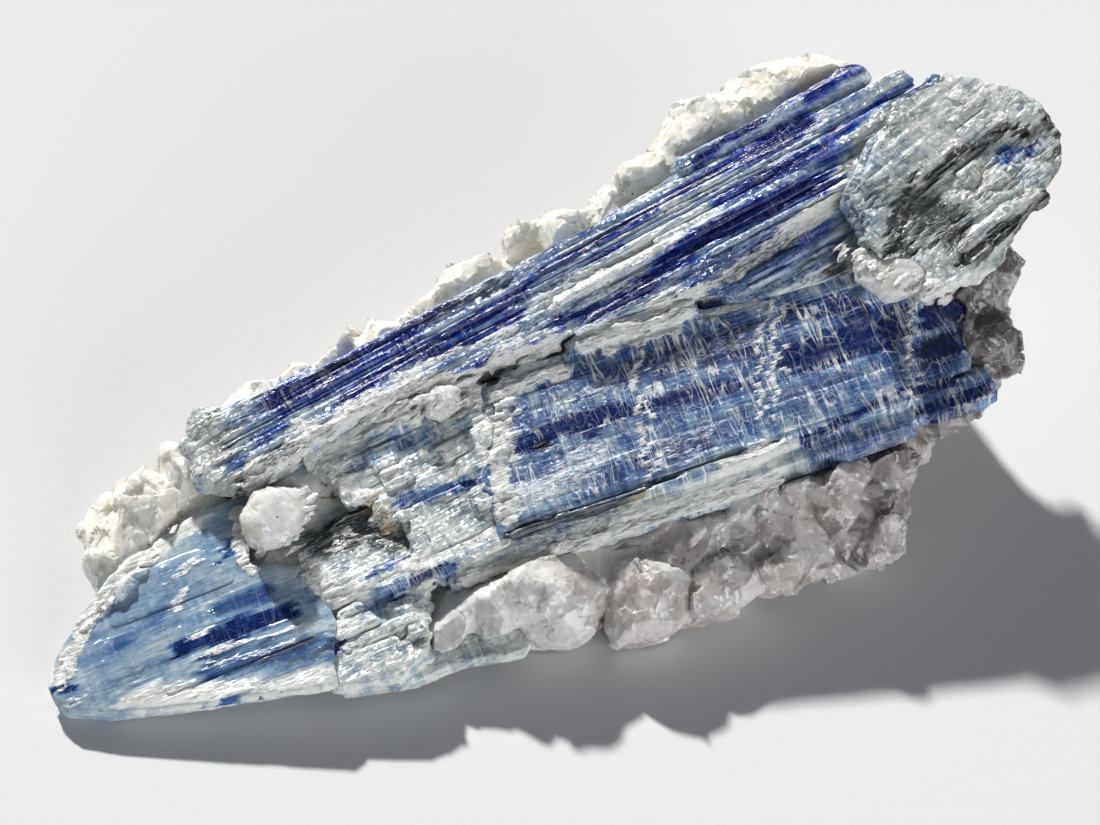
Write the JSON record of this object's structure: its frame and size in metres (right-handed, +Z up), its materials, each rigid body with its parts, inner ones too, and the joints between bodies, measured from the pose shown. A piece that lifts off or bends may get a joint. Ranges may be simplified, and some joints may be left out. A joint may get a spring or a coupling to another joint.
{
  "type": "kyanite blade cluster",
  "caption": "Hand specimen of flat striated kyanite blades lying side by side on a rough quartz matrix, tapering to one end, resting on its flat underside.",
  "frame": {"origin": "middle of the bounding box's bottom, on the surface that the specimen rests on", "axes": "+X along the blades towards the high blunt end, +Y towards the back, away from the side that shows the broad faces, +Z up"},
  "size_m": [0.112, 0.053, 0.0306],
  "materials": {
    "blue_kyanite": "glassy striated crystal, deep blue along the blades and pale grey-blue between",
    "pale_kyanite": "pale grey-green to grey-blue fibrous crystal with white cleavage cracks",
    "quartz": "milky to smoky translucent quartz with broken facets",
    "cream_quartz": "granular cream quartz"
  },
  "bodies": {
    "root": {"long_blade_bundle": "blue_kyanite", "broad_blade": "blue_kyanite", "left_end_blade": "blue_kyanite", "right_end_blade": "pale_kyanite", "broken_step_blades": "pale_kyanite", "quartz_matrix": "quartz", "cream_grain_left": "cream_quartz", "cream_grain_middle": "cream_quartz", "cream_patch_right": "cream_quartz"}
  },
  "joints": []
}
